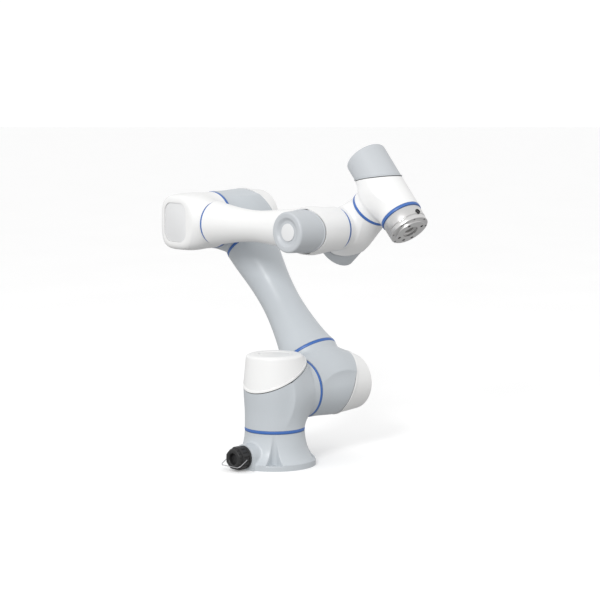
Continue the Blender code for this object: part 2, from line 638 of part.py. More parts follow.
def build_flange():
    low = WRIST_3_RING + RING_HALF + GAP
    outline = [
        (0.0, TOOL_OFFSET - 0.012), (CENTRING_RADIUS, TOOL_OFFSET - 0.006), (CENTRING_RADIUS, TOOL_OFFSET),
        (FLANGE_STEP_RADIUS, TOOL_OFFSET), (FLANGE_STEP_RADIUS, TOOL_OFFSET - 0.004),
        (FLANGE_RADIUS - 0.002, TOOL_OFFSET - 0.004), (FLANGE_RADIUS, TOOL_OFFSET - 0.006),
        (FLANGE_RADIUS, low), (0.0, low),
    ]
    flange = finish(turned(outline, 48), "tool_flange", WRIST_3_FRAME, TOOL, METAL)
    for quarter in range(4):
        angle = pi / 4 + quarter * pi / 2
        spot = Vector((cos(angle), sin(angle), 0)) * FLANGE_HOLE_CIRCLE
        hole = cylinder(FLANGE_HOLE_RADIUS, TOOL_OFFSET - 0.012, TOOL_OFFSET + 0.01, 16)
        boolean(flange, make_cutter(hole, WRIST_3_FRAME @ Matrix.Translation(spot)), "DIFFERENCE")
    socket_spot = Matrix.Translation((0, 0, TOOL_SOCKET_HEIGHT))
    side = WRIST_3_FRAME @ socket_spot @ Matrix.Rotation(-pi / 2, 4, "Y")
    pocket = cylinder(TOOL_SOCKET_RADIUS + GAP, FLANGE_RADIUS - 0.005, FLANGE_RADIUS + 0.01, 16)
    boolean(flange, make_cutter(pocket, side), "DIFFERENCE")
    rim = FLANGE_RADIUS + 0.002
    socket = [
        (0.0, FLANGE_RADIUS - 0.0047), (TOOL_SOCKET_RADIUS, FLANGE_RADIUS - 0.0047),
        (TOOL_SOCKET_RADIUS, rim),
        (TOOL_SOCKET_RADIUS * 0.7, rim), (TOOL_SOCKET_RADIUS * 0.7, rim - 0.003), (0.0, rim - 0.003),
    ]
    finish(turned(socket, 16), "tool_cable_socket", side, TOOL, BLACK)


build_base()
build_connector()
build_shoulder()
build_upper_arm()
build_elbow()
build_forearm()
build_wrists()
build_flange()
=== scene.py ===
"""Looks of the six-axis collaborative robot arm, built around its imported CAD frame.

Every painted casting is one smooth implicit surface, cut by planes at its joint band and
its cap. Caps, bands, seals and the tool flange are turned around their joint's axis.
"""
import json
from math import cos, pi, radians, sin

import bmesh
import bpy
import numpy as np
import openvdb
from mathutils import Matrix, Vector


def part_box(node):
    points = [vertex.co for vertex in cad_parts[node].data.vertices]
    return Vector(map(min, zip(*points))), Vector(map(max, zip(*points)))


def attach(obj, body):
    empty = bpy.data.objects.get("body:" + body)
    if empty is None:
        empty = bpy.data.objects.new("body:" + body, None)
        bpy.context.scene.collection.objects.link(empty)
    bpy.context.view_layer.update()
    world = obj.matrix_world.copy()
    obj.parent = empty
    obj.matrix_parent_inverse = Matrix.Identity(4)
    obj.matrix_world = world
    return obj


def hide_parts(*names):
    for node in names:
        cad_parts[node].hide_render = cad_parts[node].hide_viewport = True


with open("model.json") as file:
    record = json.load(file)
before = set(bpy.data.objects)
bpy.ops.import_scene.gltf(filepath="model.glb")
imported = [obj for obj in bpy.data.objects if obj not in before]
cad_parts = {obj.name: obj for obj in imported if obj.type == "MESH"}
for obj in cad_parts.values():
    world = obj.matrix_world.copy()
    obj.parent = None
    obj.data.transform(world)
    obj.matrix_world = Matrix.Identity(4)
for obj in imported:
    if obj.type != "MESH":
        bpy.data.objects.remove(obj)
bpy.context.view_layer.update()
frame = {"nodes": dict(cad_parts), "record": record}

# Sizes shared with the CAD model, in metres
BIG = 0.061
SMALL = 0.0425
BRANCH_FADE = 0.02
RIM_SCREWS = 8
RIM_SCREW_CIRCLE = 0.0372
TOOL_HOLE_CIRCLE = 0.025
BIG_FLARE = 0.0025
WALL = 0.004
RING_HALF = 0.0034
RING_GAP = 0.0003
RING_RISE = 0.0003
SEAL_HALF = 0.0008
AROUND = 160

# Camera, as an angle, a distance and a lens
CAMERA_AZIMUTH = radians(45)
CAMERA_ELEVATION = radians(6.6)
CAMERA_DISTANCE = 3.926
CAMERA_LENS = 116.4
CAMERA_SIDE = 0.0515
CAMERA_HEIGHT = 0.3365


# ---------------------------------------------------------------- joint modules

def joint(name):
    return next(item for item in frame["record"]["behaviour"]["joints"] if item["name"] == name)


def matrix_at(origin, z_axis, x_hint):
    """A world matrix with Z along z_axis and X as near x_hint as it can be."""
    z_axis = Vector(z_axis).normalized()
    x_axis = Vector(x_hint)
    x_axis = (x_axis - z_axis * x_axis.dot(z_axis)).normalized()
    turn = Matrix((x_axis, z_axis.cross(x_axis), z_axis)).transposed()
    return Matrix.Translation(origin) @ turn.to_4x4()


def box_centre(node):
    low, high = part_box(node)
    return (Vector(low) + Vector(high)) / 2


class Module:
    """One joint module: Z runs along its axis to its blue band, X along its branch."""

    def __init__(self, body, origin, z_axis, x_hint, radius, ring, cap_end, plane, branch_radius=None):
        self.body = body
        self.matrix = matrix_at(origin, z_axis, x_hint)
        self.radius = radius
        self.branch_radius = branch_radius or radius
        self.ring = (box_centre(ring) - Vector(origin)).dot(Vector(z_axis).normalized())
        self.cap_end = cap_end
        self.offset, self.slope, self.direction = plane
        self.flare = BIG_FLARE if radius == BIG else 0.0

    def normal(self):
        return Vector((self.slope * cos(self.direction), self.slope * sin(self.direction), 1)).normalized()

    def barrel(self, height):
        """Radius of the casting's barrel, which flares a little towards the cap."""
        t = np.clip((0.045 - height) / 0.055, 0, 1)
        return self.radius + self.flare * t * t * (3 - 2 * t)

    def plane_height(self, x, y):
        """Height of the cap's sloping joint over a point of the module's cross-section."""
        return self.offset - self.slope * (x * cos(self.direction) + y * sin(self.direction))


SHOULDER_POINT = Vector(joint("joint_2")["pos_m"])
ELBOW_POINT = Vector(joint("joint_3")["pos_m"])
WRIST_1_POINT = Vector(joint("joint_4")["pos_m"])
WRIST_2_POINT = Vector(joint("joint_5")["pos_m"])
WRIST_3_POINT = Vector(joint("joint_6")["pos_m"])
WRIST_2_AXIS = Vector(joint("joint_5")["axis"])
TOOL_AXIS = Vector(joint("joint_6")["axis"])
Y_AXIS = Vector((0, 1, 0))
Z_AXIS = Vector((0, 0, 1))
UPPER_ARM = (ELBOW_POINT - SHOULDER_POINT).normalized()
FOREARM = (WRIST_1_POINT - ELBOW_POINT).normalized()
UPPER_ARM_Y = joint("shoulder_motor")["pos_m"][1]
FOREARM_Y = joint("wrist_1_motor")["pos_m"][1]
UPPER_ARM_LENGTH = (ELBOW_POINT - SHOULDER_POINT).length
FOREARM_LENGTH = (WRIST_1_POINT - ELBOW_POINT).length

SHOULDER_CENTRE = SHOULDER_POINT + Y_AXIS * UPPER_ARM_Y
ELBOW_CENTRE = ELBOW_POINT + Y_AXIS * UPPER_ARM_Y
FRONT_ELBOW_CENTRE = ELBOW_POINT + Y_AXIS * FOREARM_Y
WRIST_1_CENTRE = WRIST_1_POINT + Y_AXIS * FOREARM_Y

BASE_MODULE = Module(
    "shoulder", SHOULDER_POINT, -Z_AXIS, Y_AXIS, BIG, "base_joint_ring", -0.0805, (-0.0365, 0.49, 0), 0.06)
SHOULDER_MODULE = Module(
    "upper_arm", SHOULDER_CENTRE, -Y_AXIS, UPPER_ARM, BIG, "shoulder_joint_ring", -0.087, (-0.042, 0.48, 0),
    0.0615)
ELBOW_MODULE = Module(
    "upper_arm", ELBOW_CENTRE, -Y_AXIS, -UPPER_ARM, BIG, "elbow_joint_ring", -0.074, (-0.036, 0.42, 0),
    0.0545)
WRIST_1_MODULE = Module(
    "forearm", WRIST_1_CENTRE, Y_AXIS, -FOREARM, SMALL, "wrist_1_joint_ring", -0.071, (-0.0216, 0.42, 0.17))
WRIST_2_MODULE = Module(
    "wrist_1", WRIST_2_POINT, WRIST_2_AXIS, -Y_AXIS, SMALL, "wrist_2_joint_ring", -0.077, (-0.03, 0.72, 0))
WRIST_3_MODULE = Module(
    "wrist_2", WRIST_3_POINT, TOOL_AXIS, -WRIST_2_AXIS, SMALL, "wrist_3_joint_ring", -0.091,
    (-0.0323, 0.65, 0))
UPPER_TUBE = matrix_at(SHOULDER_CENTRE, UPPER_ARM, Y_AXIS)
FOREARM_TUBE = matrix_at(FRONT_ELBOW_CENTRE, FOREARM, Y_AXIS)
LOWER_RING = (box_centre("lower_tube_ring") - SHOULDER_CENTRE).dot(UPPER_ARM)
UPPER_RING = (box_centre("upper_tube_ring") - SHOULDER_CENTRE).dot(UPPER_ARM)
FOREARM_RING = (box_centre("forearm_tube_ring") - FRONT_ELBOW_CENTRE).dot(FOREARM)


# ---------------------------------------------------------------- materials

def shader_graph(name):
    material = bpy.data.materials.new(name)
    material.use_nodes = True
    nodes = material.node_tree.nodes
    return material, nodes, material.node_tree.links, nodes["Principled BSDF"]


def noise(nodes, links, scale, detail=2.0, coordinates="Object"):
    place = nodes.new("ShaderNodeTexCoord")
    texture = nodes.new("ShaderNodeTexNoise")
    texture.inputs["Scale"].default_value = scale
    texture.inputs["Detail"].default_value = detail
    links.new(place.outputs[coordinates], texture.inputs["Vector"])
    return texture.outputs["Fac"]


def ramp(nodes, links, source, low, high, start=0.3, end=0.7):
    """A colour or grey level that runs from low to high with a texture."""
    band = nodes.new("ShaderNodeValToRGB")
    band.color_ramp.elements[0].position = start
    band.color_ramp.elements[1].position = end
    band.color_ramp.elements[0].color = (*low, 1)
    band.color_ramp.elements[1].color = (*high, 1)
    links.new(source, band.inputs["Fac"])
    return band.outputs["Color"]


def add_bump(nodes, links, shader, source, strength, distance):
    bump = nodes.new("ShaderNodeBump")
    bump.inputs["Strength"].default_value = strength
    bump.inputs["Distance"].default_value = distance
    links.new(source, bump.inputs["Height"])
    links.new(bump.outputs["Normal"], shader.inputs["Normal"])


def coated(name, colour, roughness, grain, bump, coat=0.0, spread=0.025):
    """Paint or moulded plastic: slow colour drift, uneven gloss and a fine surface grain."""
    material, nodes, links, shader = shader_graph(name)
    low = tuple(value * (1 - spread) for value in colour)
    high = tuple(min(value * (1 + spread), 1.0) for value in colour)
    links.new(ramp(nodes, links, noise(nodes, links, 9.0), low, high), shader.inputs["Base Color"])
    dull = (roughness * 1.12,) * 3
    bright = (roughness * 0.88,) * 3
    links.new(ramp(nodes, links, noise(nodes, links, 60.0, 4.0), bright, dull), shader.inputs["Roughness"])
    shader.inputs["Coat Weight"].default_value = coat
    shader.inputs["Coat Roughness"].default_value = 0.2
    add_bump(nodes, links, shader, noise(nodes, links, grain, 3.0), bump, 0.0002)
    return material


def machined(name, colour, roughness):
    """Turned aluminium: fine rings about the piece's own axis."""
    material, nodes, links, shader = shader_graph(name)
    shader.inputs["Metallic"].default_value = 1.0
    place = nodes.new("ShaderNodeTexCoord")
    rings = nodes.new("ShaderNodeTexWave")
    rings.wave_type = "RINGS"
    rings.rings_direction = "Z"
    rings.inputs["Scale"].default_value = 260.0
    rings.inputs["Distortion"].default_value = 0.2
    links.new(place.outputs["Object"], rings.inputs["Vector"])
    low = tuple(value * 0.95 for value in colour)
    links.new(ramp(nodes, links, rings.outputs["Fac"], low, colour, 0.1, 0.9), shader.inputs["Base Color"])
    fine = (roughness * 0.92,) * 3
    coarse = (roughness * 1.1,) * 3
    links.new(ramp(nodes, links, noise(nodes, links, 400.0, 3.0), fine, coarse), shader.inputs["Roughness"])
    shader.inputs["Anisotropic"].default_value = 0.4
    add_bump(nodes, links, shader, rings.outputs["Fac"], 0.05, 0.00004)
    return material


def hidden_metal(name, colour, roughness, scale):
    """Ground steel or wound wire inside the modules."""
    material, nodes, links, shader = shader_graph(name)
    shader.inputs["Metallic"].default_value = 1.0
    low = tuple(value * 0.8 for value in colour)
    links.new(ramp(nodes, links, noise(nodes, links, scale, 4.0), low, colour), shader.inputs["Base Color"])
    shader.inputs["Roughness"].default_value = roughness
    add_bump(nodes, links, shader, noise(nodes, links, scale * 3, 2.0), 0.2, 0.0002)
    return material


SILVER = coated("satin_silver_paint", (0.54, 0.575, 0.605), 0.42, 1400.0, 0.06, 0.15)
WHITE = coated("satin_white_paint", (0.86, 0.86, 0.855), 0.36, 1600.0, 0.04, 0.2, 0.008)
GREY = coated("light_grey_moulding", (0.525, 0.55, 0.575), 0.45, 2200.0, 0.08, 0.05)
PANEL = coated("pale_inset_panel", (0.76, 0.765, 0.77), 0.42, 2200.0, 0.06, 0.05, 0.015)
BLUE = coated("blue_band", (0.05, 0.15, 0.46), 0.42, 1800.0, 0.05, 0.1, 0.06)
RUBBER = coated("dark_seal", (0.05, 0.052, 0.056), 0.7, 900.0, 0.2, 0.0, 0.1)
BLACK = coated("black_moulding", (0.018, 0.018, 0.019), 0.48, 1300.0, 0.25, 0.0, 0.2)
METAL = machined("machined_aluminium", (0.74, 0.735, 0.73), 0.3)
SCREW = hidden_metal("screw_steel", (0.3, 0.3, 0.31), 0.35, 300.0)
STEEL = hidden_metal("ground_steel", (0.6, 0.6, 0.62), 0.3, 150.0)
WINDING = hidden_metal("copper_winding", (0.62, 0.33, 0.14), 0.45, 500.0)
BOARD = coated("coated_board", (0.015, 0.12, 0.05), 0.4, 500.0, 0.3, 0.3, 0.15)


# ---------------------------------------------------------------- mesh helpers

def new_piece(name, mesh, matrix, body, material, nodes=(), sharp=radians(35)):
    obj = bpy.data.objects.new(name, mesh)
    bpy.context.scene.collection.objects.link(obj)
    if material in (SILVER, WHITE, GREY, BLUE, RUBBER):
        mesh.transform(matrix)
    else:
        obj.matrix_world = matrix
    mesh.materials.append(material)
    mesh.polygons.foreach_set("use_smooth", [True] * len(mesh.polygons))
    mesh.set_sharp_from_angle(angle=sharp)
    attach(obj, body)
    if nodes:
        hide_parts(*nodes)
    return obj


def mesh_from_rows(name, rows, closed_ends=True):
    """A mesh skinned over rings of points; the first and last ring are closed with a fan."""
    count = len(rows[0])
    points = [tuple(point) for row in rows for point in row]
    faces = []
    for row in range(len(rows) - 1):
        for index in range(count):
            after = (index + 1) % count
            faces.append((
                row * count + index, row * count + after,
                (row + 1) * count + after, (row + 1) * count + index))
    if closed_ends:
        faces.append(tuple(reversed(range(count))))
        faces.append(tuple(range((len(rows) - 1) * count, len(rows) * count)))
    else:
        last = (len(rows) - 1) * count
        for index in range(count):
            after = (index + 1) % count
            faces.append((last + index, last + after, after, index))
    mesh = bpy.data.meshes.new(name)
    mesh.from_pydata(points, [], faces)
    tidy = bmesh.new()
    tidy.from_mesh(mesh)
    bmesh.ops.remove_doubles(tidy, verts=tidy.verts, dist=0.000005)
    bmesh.ops.recalc_face_normals(tidy, faces=tidy.faces)
    tidy.to_mesh(mesh)
    tidy.free()
    return mesh


def fillet(outline, radii, steps=5):
    """Round the corners of an open outline of (radius, height) by the given radii."""
    result = [outline[0]]
    for index in range(1, len(outline) - 1):
        corner = Vector(outline[index])
        before = Vector(outline[index - 1]) - corner
        after = Vector(outline[index + 1]) - corner
        reach = min(radii[index], before.length * 0.49, after.length * 0.49)
        if reach <= 0:
            result.append(tuple(corner))
            continue
        start = corner + before.normalized() * reach
        end = corner + after.normalized() * reach
        for step in range(steps + 1):
            t = step / steps
            point = start * (1 - t) ** 2 + corner * 2 * t * (1 - t) + end * t ** 2
            result.append(tuple(point))
    result.append(outline[-1])
    return result


def turned_rows(outline, count=AROUND):
    return [
        [(radius * cos(2 * pi * step / count), radius * sin(2 * pi * step / count), height)
         for step in range(count)]
        for radius, height in outline]


def turned(name, outline, count=AROUND):
    """A closed ring or solid turned about Z from a closed outline."""
    return mesh_from_rows(name, turned_rows(outline, count), closed_ends=False)


def boolean(obj, cutters, operation="DIFFERENCE"):
    """Apply booleans with temporary cutters, which are deleted."""
    for cutter in cutters:
        modifier = obj.modifiers.new("cut", "BOOLEAN")
        modifier.operation = operation
        modifier.solver = "EXACT"
        modifier.object = cutter
    graph = bpy.context.evaluated_depsgraph_get()
    mesh = bpy.data.meshes.new_from_object(obj.evaluated_get(graph))
    for used in [obj, *cutters]:
        bpy.data.objects.remove(used, do_unlink=True)
    return mesh


def loose(mesh, matrix=Matrix.Identity(4)):
    obj = bpy.data.objects.new(mesh.name, mesh)
    bpy.context.scene.collection.objects.link(obj)
    obj.matrix_world = matrix
    bpy.context.view_layer.update()
    return obj


def peg(radius, low, high, matrix=Matrix.Identity(4), count=32):
    outline = [(0.0, low), (radius, low), (radius, high), (0.0, high)]
    return loose(turned("peg", outline, count), matrix)


# ---------------------------------------------------------------- implicit surfaces

def smooth_min(a, b, blend):
    """Union of two fields with a rounded inside corner."""
    share = np.clip(0.5 + 0.5 * (b - a) / blend, 0, 1)
    return b * (1 - share) + a * share - blend * share * (1 - share)


def smooth_max(a, b, blend):
    return -smooth_min(-a, -b, blend)


def curve(heights, values):
    """A smooth curve through the given points, as a function of an array."""
    heights = np.array(heights)
    values = np.array(values)
    slopes = np.gradient(values, heights)

    def value(x):
        x = np.clip(x, heights[0], heights[-1])
        index = np.clip(np.searchsorted(heights, x) - 1, 0, len(heights) - 2)
        span = heights[index + 1] - heights[index]
        t = (x - heights[index]) / span
        a, b = values[index], values[index + 1]
        m, n = slopes[index] * span, slopes[index + 1] * span
        return (
            (2 * t ** 3 - 3 * t ** 2 + 1) * a + (t ** 3 - 2 * t ** 2 + t) * m
            + (3 * t ** 2 - 2 * t ** 3) * b + (t ** 3 - t ** 2) * n)

    return value


def implicit_mesh(name, field, low, high, voxel):
    """Mesh the zero surface of a field on a grid, then pull every vertex onto it exactly."""
    axes = [np.arange(low[axis], high[axis] + voxel, voxel) for axis in range(3)]
    grid = np.stack(np.meshgrid(*axes, indexing="ij"), axis=-1).reshape(-1, 3)
    values = field(grid).reshape([len(axis) for axis in axes])
    values = np.clip(values / voxel, -3, 3).astype(np.float32)
    volume = openvdb.FloatGrid()
    volume.background = 3.0
    volume.copyFromArray(values)
    points, quads = volume.convertToQuads(0.0)
    points = points.astype(np.float64) * voxel + np.array(low)
    nudge = 0.00005
    for _ in range(4):
        value = field(points)
        slope = np.stack(
            [(field(points + step) - field(points - step)) / (2 * nudge) for step in np.eye(3) * nudge],
            axis=-1)
        size = np.maximum((slope ** 2).sum(axis=1), 0.05)
        near = np.abs(value) < 2.5 * voxel
        points -= (slope * (value * near / size)[:, None])
    mesh = bpy.data.meshes.new(name)
    mesh.from_pydata(points.tolist(), [], quads.tolist())
    return mesh


def cut_and_shell(mesh, planes, wall=WALL):
    """Slice an implicit mesh at its joints and leave clean rims on what is left."""
    work = bmesh.new()
    work.from_mesh(mesh)
    for point, normal in planes:
        geometry = work.verts[:] + work.edges[:] + work.faces[:]
        bmesh.ops.bisect_plane(
            work, geom=geometry, dist=0.00002, plane_co=point, plane_no=normal, clear_outer=True)
    bmesh.ops.dissolve_degenerate(work, edges=work.edges, dist=0.00008)
    bmesh.ops.recalc_face_normals(work, faces=work.faces)
    work.to_mesh(mesh)
    work.free()
    return mesh


def shell(mesh, wall=WALL):
    """Solid wall behind an open skin."""
    obj = loose(mesh)
    solidify = obj.modifiers.new("wall", "SOLIDIFY")
    solidify.thickness = wall
    solidify.offset = -1
    graph = bpy.context.evaluated_depsgraph_get()
    thick = bpy.data.meshes.new_from_object(obj.evaluated_get(graph))
    bpy.data.objects.remove(obj, do_unlink=True)
    return thick


# ---------------------------------------------------------------- parts of a joint module

def casting(name, module, branch_end, material, blend, node, voxel):
    """The painted casting of a module: barrel and branch flowing into each other."""
    radius = module.radius
    branch = module.branch_radius

    def field(p):
        barrel = np.hypot(p[:, 0], p[:, 1]) - module.barrel(p[:, 2])
        stub = np.maximum(np.hypot(p[:, 1], p[:, 2]) - branch, -p[:, 0])
        fade = np.clip((branch_end - p[:, 0]) / BRANCH_FADE, 0.02, 1.0)
        return smooth_min(barrel, stub, blend * fade)

    end = module.ring - RING_HALF
    reach = module.slope * radius
    low = (-radius - 0.007, -radius - 0.012, module.offset - reach - 0.009)
    high = (branch_end + 0.006, radius + 0.012, end + 0.006)
    mesh = implicit_mesh(name, field, low, high, voxel)
    normal = module.normal()
    seam = Vector((0, 0, module.offset)) + normal * SEAL_HALF
    planes = [
        (Vector((0, 0, end)), Z_AXIS),
        (Vector((branch_end, 0, 0)), Vector((1, 0, 0))),
        (seam, -normal)]
    mesh = shell(cut_and_shell(mesh, planes))
    return new_piece(name, mesh, module.matrix, module.body, material, [node])


def plane_rows(module, outline_radius, distances, count=AROUND):
    """Rings that follow the sloping cap joint at given distances above or below it."""
    rows = []
    for radius, distance in zip(outline_radius, distances):
        row = []
        for step in range(count):
            angle = 2 * pi * step / count
            x, y = radius * cos(angle), radius * sin(angle)
            row.append((x, y, module.plane_height(x, y) + distance))
        rows.append(row)
    return rows


LIP_STEP = 0.0014
LIP_RISE = 0.0012


def cap(name, module, material, nodes, corner, top, dish=None, notch=None):
    """A rear cap: flat end, soft corner of (radial, axial) size and a lip along its joint."""
    radius = module.radius + module.flare
    end = module.cap_end
    across, deep = corner
    height = 0.0072 if module.flare else 0.0052
    face = dish or [(0.0, end)]
    for step in range(13):
        angle = step * pi / 24
        face.append((top - across + across * sin(angle), end + deep * (1 - cos(angle))))
    rows = turned_rows(face)
    # Side wall: rings that turn from level to the slope of the joint
    start_radius, start_height = face[-1]
    wall = radius + LIP_RISE - LIP_STEP
    for step in range(1, 13):
        t = step / 12
        row = []
        for point in range(AROUND):
            angle = 2 * pi * point / AROUND
            size = start_radius + (wall - start_radius) * t
            x, y = size * cos(angle), size * sin(angle)
            foot = module.plane_height(x, y) - height
            row.append((x, y, start_height + (foot - start_height) * t))
        rows.append(row)
    lip = radius + LIP_RISE
    rows += plane_rows(
        module,
        [wall - 0.0004, wall - 0.0003, lip - 0.0004, lip, lip, lip - 0.0005, lip - 0.0012],
        [0.0003 - height, 0.0008 - height, 0.001 - height, 0.0016 - height,
         -SEAL_HALF - 0.001, -SEAL_HALF - 0.0002, -SEAL_HALF])
    inner = radius - WALL
    depth = end + deep + 0.004 if deep > 0.01 else end + 0.012
    rows += plane_rows(module, [inner], [-SEAL_HALF])
    rows += turned_rows(
        [(min(inner, start_radius - 0.003), depth), (inner * 0.5, end + 0.009), (0.0, end + 0.009)])
    mesh = mesh_from_rows(name, rows)
    if notch:
        mesh = boolean(loose(mesh, module.matrix), [notch])
    return new_piece(name, mesh, module.matrix, module.body, material, nodes)


def dished(module, rim, floor, depth):
    """Outline of a shallow round dish in a cap's end face, from its centre to its rim."""
    end = module.cap_end
    return fillet(
        [(0.0, end + depth), (floor, end + depth), (rim, end), (rim + 0.004, end)], [0, 0.0012, 0.0016, 0],
        4)


def seal(name, module, nodes=()):
    """The thin dark line between a casting and its cap."""
    radius = module.radius + module.flare
    inner = radius - WALL
    half = SEAL_HALF - 0.00015
    rows = plane_rows(
        module, [inner, radius - 0.0009, radius - 0.0007, radius - 0.0009, inner],
        [-half, -half, 0.0, half, half])
    mesh = mesh_from_rows(name, rows, closed_ends=False)
    return new_piece(name, mesh, module.matrix, module.body, RUBBER, nodes)


def band(name, body, matrix, radius, middle, node):
    """A blue joint band with a slightly crowned face and soft edges."""
    half = RING_HALF - RING_GAP
    outer = radius + RING_RISE
    outline = [
        (radius - WALL, middle - half), (outer - 0.0008, middle - half),
        (outer - 0.0002, middle - half + 0.0003),
        (outer, middle - half + 0.0009), (outer + 0.0002, middle), (outer, middle + half - 0.0009),
        (outer - 0.0002, middle + half - 0.0003), (outer - 0.0008, middle + half),
        (radius - WALL, middle + half)]
    mesh = turned(name, outline)
    return new_piece(name, mesh, matrix, body, BLUE, [node])


def along_x(matrix):
    return matrix @ Matrix.Rotation(pi / 2, 4, "Y")


# ---------------------------------------------------------------- the arm, link by link

def build_base():
    """Flared foot with four V-shaped bolt recesses that open onto the round core."""
    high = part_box("base_housing")[1]
    top = high[2]
    skirt = curve(
        [0.0115, 0.0125, 0.014, 0.0175, 0.022, 0.028, 0.037, 0.05, 0.062, 0.075],
        [0.084, 0.0825, 0.0812, 0.0775, 0.0742, 0.0707, 0.067, 0.0637, 0.0618, 0.061])
    foot = 0.084
    floor = 0.0105
    neck = 0.0605
    pad_height = box_centre("cable_socket")[2]
    pad_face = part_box("cable_socket")[1][1] + 0.0003
    pad_radius = 0.0262

    def field(p):
        x, y, z = p[:, 0], p[:, 1], p[:, 2]
        r = np.hypot(x, y)
        body = np.where(z < 0.0118, r - foot, (r - skirt(z)) * 0.82)
        body = smooth_max(body, z - top - 0.01, 0.001)
        # Connector pad: a rounded block that stands out towards -Y
        across = np.abs(x) - pad_radius
        tall = np.hypot(x, np.maximum(z - pad_height, 0)) - pad_radius
        block = np.maximum(np.maximum(across, tall), np.maximum(pad_face - y, y))
        body = smooth_min(body, block, 0.004)
        for quarter in range(4):
            angle = pi / 4 + quarter * pi / 2
            side = -x * sin(angle) + y * cos(angle)
            ahead = x * cos(angle) + y * sin(angle)
            flank = (np.abs(side) - 0.0036 - (ahead - neck) * 0.68) * 0.83
            pocket = smooth_max(flank, neck - ahead, 0.004)
            body = smooth_max(body, -np.maximum(pocket, floor - z), 0.0012)
        return body

    voxel = 0.00115
    mesh = implicit_mesh(
        "base_casting", field, (-0.088, pad_face - 0.004, -0.006), (0.088, 0.088, top + 0.005), voxel)
    planes = [(Vector((0, 0, top)), Z_AXIS), (Vector((0, 0, 0)), -Z_AXIS)]
    mesh = cut_and_shell(mesh, planes)
    work = bmesh.new()
    work.from_mesh(mesh)
    bmesh.ops.holes_fill(work, edges=[edge for edge in work.edges if edge.is_boundary], sides=0)
    bmesh.ops.recalc_face_normals(work, faces=work.faces)
    work.to_mesh(mesh)
    work.free()
    holes = []
    for quarter in range(4):
        angle = pi / 4 + quarter * pi / 2
        spot = Matrix.Translation((0.074 * cos(angle), 0.074 * sin(angle), 0))
        holes.append(peg(0.0045, -0.01, 0.03, spot))
    holes.append(peg(BIG - 0.008, 0.012, top + 0.01, count=AROUND))
    mesh = boolean(loose(mesh), holes)
    new_piece("base_casting", mesh, Matrix.Identity(4), "base", SILVER, ["base_housing"])
    ring_height = box_centre("base_joint_ring")[2]
    band("base_band", "base", Matrix.Identity(4), BIG, ring_height, "base_joint_ring")


def build_shoulder():
    branch_end = box_centre("shoulder_joint_ring")[1] - RING_HALF
    casting(
        "shoulder_casting", BASE_MODULE, branch_end, SILVER, 0.03, "shoulder_housing",
        0.0022)
    cap(
        "shoulder_top_cap", BASE_MODULE, WHITE, ["shoulder_cap"], (0.0125, 0.0065), 0.0585,
        dished(BASE_MODULE, 0.034, 0.031, 0.0022))
    seal("shoulder_seal", BASE_MODULE, ["shoulder_cap_seal"])
    floor = BASE_MODULE.cap_end + 0.0022
    disc = fillet(
        [(0.0, floor - 0.0009), (0.0295, floor - 0.0009), (0.0295, floor), (0.0, floor)], [0, 0.0005, 0, 0],
        3)
    new_piece(
        "shoulder_cap_disc", turned("shoulder_cap_disc", disc), BASE_MODULE.matrix, "shoulder", WHITE,
        ["shoulder_cap_panel"])
    band(
        "shoulder_band", "shoulder", along_x(BASE_MODULE.matrix), 0.06, branch_end + RING_HALF,
        "shoulder_joint_ring")


def build_upper_arm():
    lower_end = LOWER_RING - RING_HALF
    upper_end = UPPER_ARM_LENGTH - UPPER_RING - RING_HALF
    casting(
        "upper_arm_lower_casting", SHOULDER_MODULE, lower_end, SILVER, 0.032,
        "upper_arm_lower_housing", 0.0022)
    cap(
        "upper_arm_lower_rear_cap", SHOULDER_MODULE, WHITE, ["upper_arm_lower_cap"],
        (0.0135, 0.009), 0.0595, dished(SHOULDER_MODULE, 0.034, 0.031, 0.0022))
    seal("upper_arm_lower_seal", SHOULDER_MODULE, ["upper_arm_lower_cap_seal"])
    casting(
        "upper_arm_upper_casting", ELBOW_MODULE, upper_end, SILVER, 0.032,
        "upper_arm_upper_housing", 0.0022)
    cap(
        "upper_arm_upper_rear_cap", ELBOW_MODULE, WHITE, ["upper_arm_upper_cap"],
        (0.0135, 0.008), 0.0595, dished(ELBOW_MODULE, 0.034, 0.031, 0.0022))
    seal("upper_arm_upper_seal", ELBOW_MODULE, ["upper_arm_upper_cap_seal"])
    band("lower_tube_band", "upper_arm", UPPER_TUBE, 0.0615, LOWER_RING, "lower_tube_ring")
    band("upper_tube_band", "upper_arm", UPPER_TUBE, 0.0545, UPPER_RING, "upper_tube_ring")
    heights = [0.0773, 0.09, 0.113, 0.14, 0.17, 0.205, 0.24, 0.275, 0.31, 0.335, 0.353]
    radii = [0.0615, 0.0572, 0.0515, 0.0468, 0.043, 0.0407, 0.0415, 0.0447, 0.0495, 0.0528, 0.0545]
    width = curve(heights, radii)
    start = LOWER_RING + RING_HALF
    end = UPPER_RING - RING_HALF
    steps = np.linspace(start, end, 90)
    outline = [(float(width(np.array([h]))[0]), float(h)) for h in steps]
    inner = [(radius - WALL, height) for radius, height in reversed(outline)]
    mesh = turned("upper_arm_tube_casting", outline + inner)
    new_piece(
        "upper_arm_tube_casting", mesh, UPPER_TUBE, "upper_arm", SILVER, ["upper_arm_tube"])


